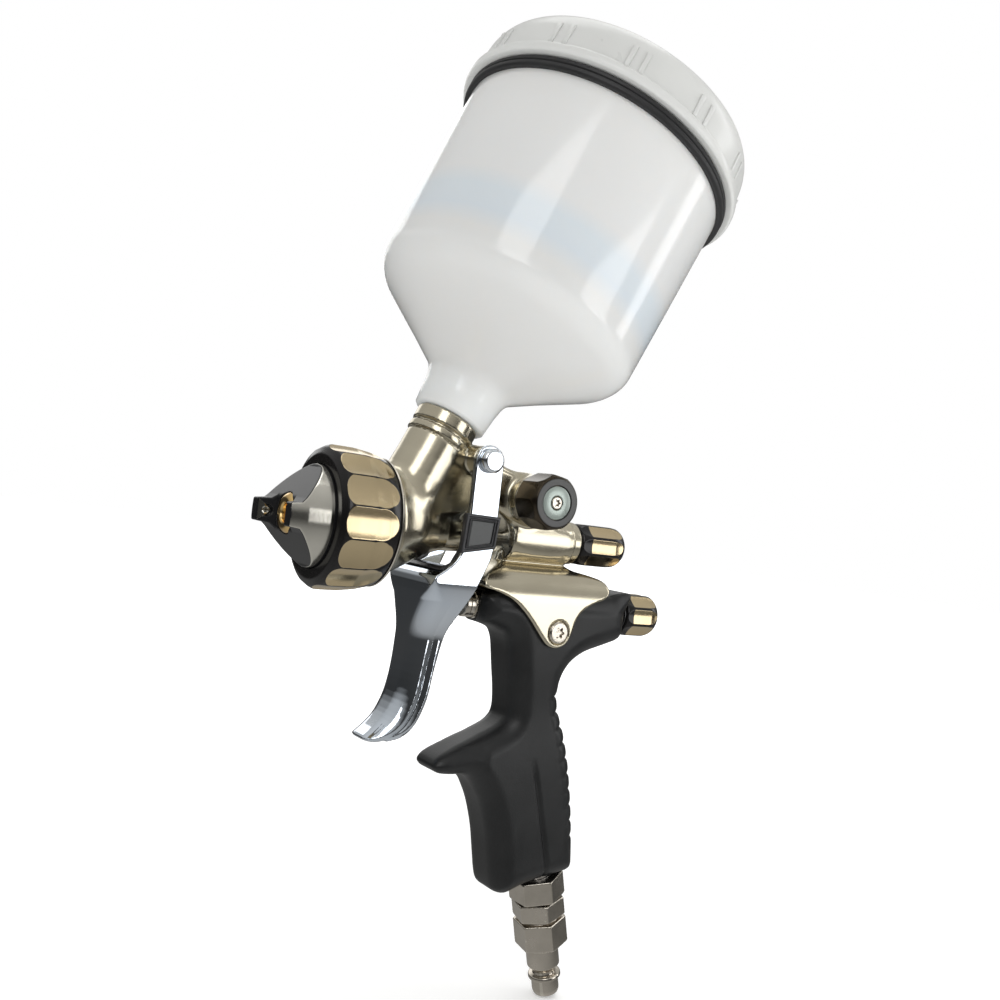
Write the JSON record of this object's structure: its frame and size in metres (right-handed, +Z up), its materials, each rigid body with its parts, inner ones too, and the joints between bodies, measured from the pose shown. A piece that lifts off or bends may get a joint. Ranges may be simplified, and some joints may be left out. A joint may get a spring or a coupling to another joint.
{
  "type": "gravity feed spray gun",
  "caption": "Gravity-feed HVLP paint spray gun: leaning cup with lid, trigger, needle, air valve, fan and flow knobs, and a plug for the air line.",
  "frame": {"origin": "centre of the tip of the air inlet plug", "axes": "+Z up, square to the spray axis; the gun sprays towards -X; the fan knob is on the -Y side"},
  "size_m": [0.1581, 0.106, 0.3378],
  "materials": {
    "black_anodised": "glossy black anodised",
    "gold": "gold-coloured plated brass",
    "black_gold": "black anodised with bright gold machined flutes",
    "champagne_nickel": "warm satin nickel",
    "polished_chrome": "mirror polished",
    "black_plastic": "semi-gloss",
    "nickel": "nickel plated, machined",
    "white_ptfe": "smooth",
    "brass": "machined",
    "spring_steel": "drawn wire",
    "bronze_black": "dark bronze facets",
    "grey_green": "pale satin",
    "milky_plastic": "translucent milky white",
    "black_rubber": "matte",
    "white_plastic": "off-white, smooth",
    "satin_black": "satin"
  },
  "bodies": {
    "gun": {"fluid_nozzle": "gold", "air_distribution_ring": "nickel", "gun_body": "champagne_nickel", "trigger_pivot_pin": "polished_chrome", "trigger_pin_clip": "polished_chrome", "needle_packing": "white_ptfe", "packing_screw": "brass", "needle_spring": "spring_steel", "fluid_knob_collar": "nickel", "air_valve_body": "nickel", "air_packing_nut": "nickel", "air_valve_seat": "white_ptfe", "air_piston_spring": "spring_steel", "micrometer_bush": "black_anodised", "fan_valve_bush": "brass", "grip": "satin_black", "air_passage_tube": "nickel", "inlet_flange_nut": "nickel", "inlet_seal": "black_rubber", "inlet_lock_nut": "nickel", "air_inlet_plug": "nickel", "plate_screws": "nickel"},
    "trigger": {"trigger": "polished_chrome", "trigger_clips": "black_plastic"},
    "needle": {"fluid_needle": "nickel"},
    "air_piston": {"air_piston": "nickel"},
    "air_cap": {"air_cap": "black_anodised", "air_cap_insert": "gold"},
    "air_cap_ring": {"air_cap_ring": "black_gold"},
    "fluid_knob": {"fluid_knob": "black_gold"},
    "air_micrometer": {"air_micrometer_knob": "black_gold"},
    "fan_control": {"fan_knob": "bronze_black", "fan_knob_disc": "grey_green", "fan_knob_screw": "nickel", "fan_spindle": "nickel"},
    "cup": {"paint_cup": "milky_plastic", "paint_strainer": "white_plastic", "lid_gasket": "black_rubber"},
    "lid": {"cup_lid": "white_plastic"},
    "vent_cap": {"lid_vent_cap": "white_plastic"}
  },
  "joints": [
    {"name": "trigger_pull", "type": "hinge", "parent": "gun", "child": "trigger", "pos_m": [-0.06156, 0, 0.18695], "axis": [0, -1, 0], "range_deg": [0, 12], "stiffness_Nm_per_rad": 0.6, "springref_deg": -14.32},
    {"name": "needle_slide", "type": "slide", "parent": "gun", "child": "needle", "axis": [1, 0, 0], "range_m": [0, 0.0057], "deforming": ["needle_spring"]},
    {"name": "air_piston_slide", "type": "slide", "parent": "gun", "child": "air_piston", "axis": [1, 0, 0], "range_m": [0, 0.0106], "deforming": ["air_piston_spring"]},
    {"name": "air_cap_turn", "type": "hinge", "parent": "gun", "child": "air_cap", "pos_m": [-0.11776, 0, 0.16265], "axis": [-1, 0, 0], "range_deg": [0, 90]},
    {"name": "air_cap_ring_turn", "type": "hinge", "parent": "gun", "child": "air_cap_ring", "pos_m": [-0.10776, 0, 0.16265], "axis": [-1, 0, 0], "range_deg": [0, 360]},
    {"name": "fluid_knob_turn", "type": "hinge", "parent": "gun", "child": "fluid_knob", "pos_m": [-0.00776, 0, 0.16265], "axis": [1, 0, 0], "range_deg": [0, 360]},
    {"name": "air_micrometer_turn", "type": "hinge", "parent": "gun", "child": "air_micrometer", "pos_m": [0.01724, 0, 0.13865], "axis": [1, 0, 0], "range_deg": [0, 360]},
    {"name": "fan_knob_turn", "type": "hinge", "parent": "gun", "child": "fan_control", "pos_m": [-0.03926, -0.02, 0.17605], "axis": [0, -1, 0], "range_deg": [0, 270]},
    {"name": "cup_turn", "type": "hinge", "parent": "gun", "child": "cup", "pos_m": [-0.08726, 0, 0.16265], "axis": [0.421, 0, 0.907], "range_deg": [0, 360]},
    {"name": "lid_lift", "type": "slide", "parent": "cup", "child": "lid", "axis": [0.421, 0, 0.907], "range_m": [0, 0.045]},
    {"name": "vent_cap_lift", "type": "slide", "parent": "lid", "child": "vent_cap", "axis": [0.421, 0, 0.907], "range_m": [0, 0.008]}
  ],
  "couplings": [
    {"joint": "needle_slide", "follows": "trigger_pull", "m_per_rad": 0.0268},
    {"joint": "air_piston_slide", "follows": "trigger_pull", "m_per_rad": 0.0501}
  ]
}
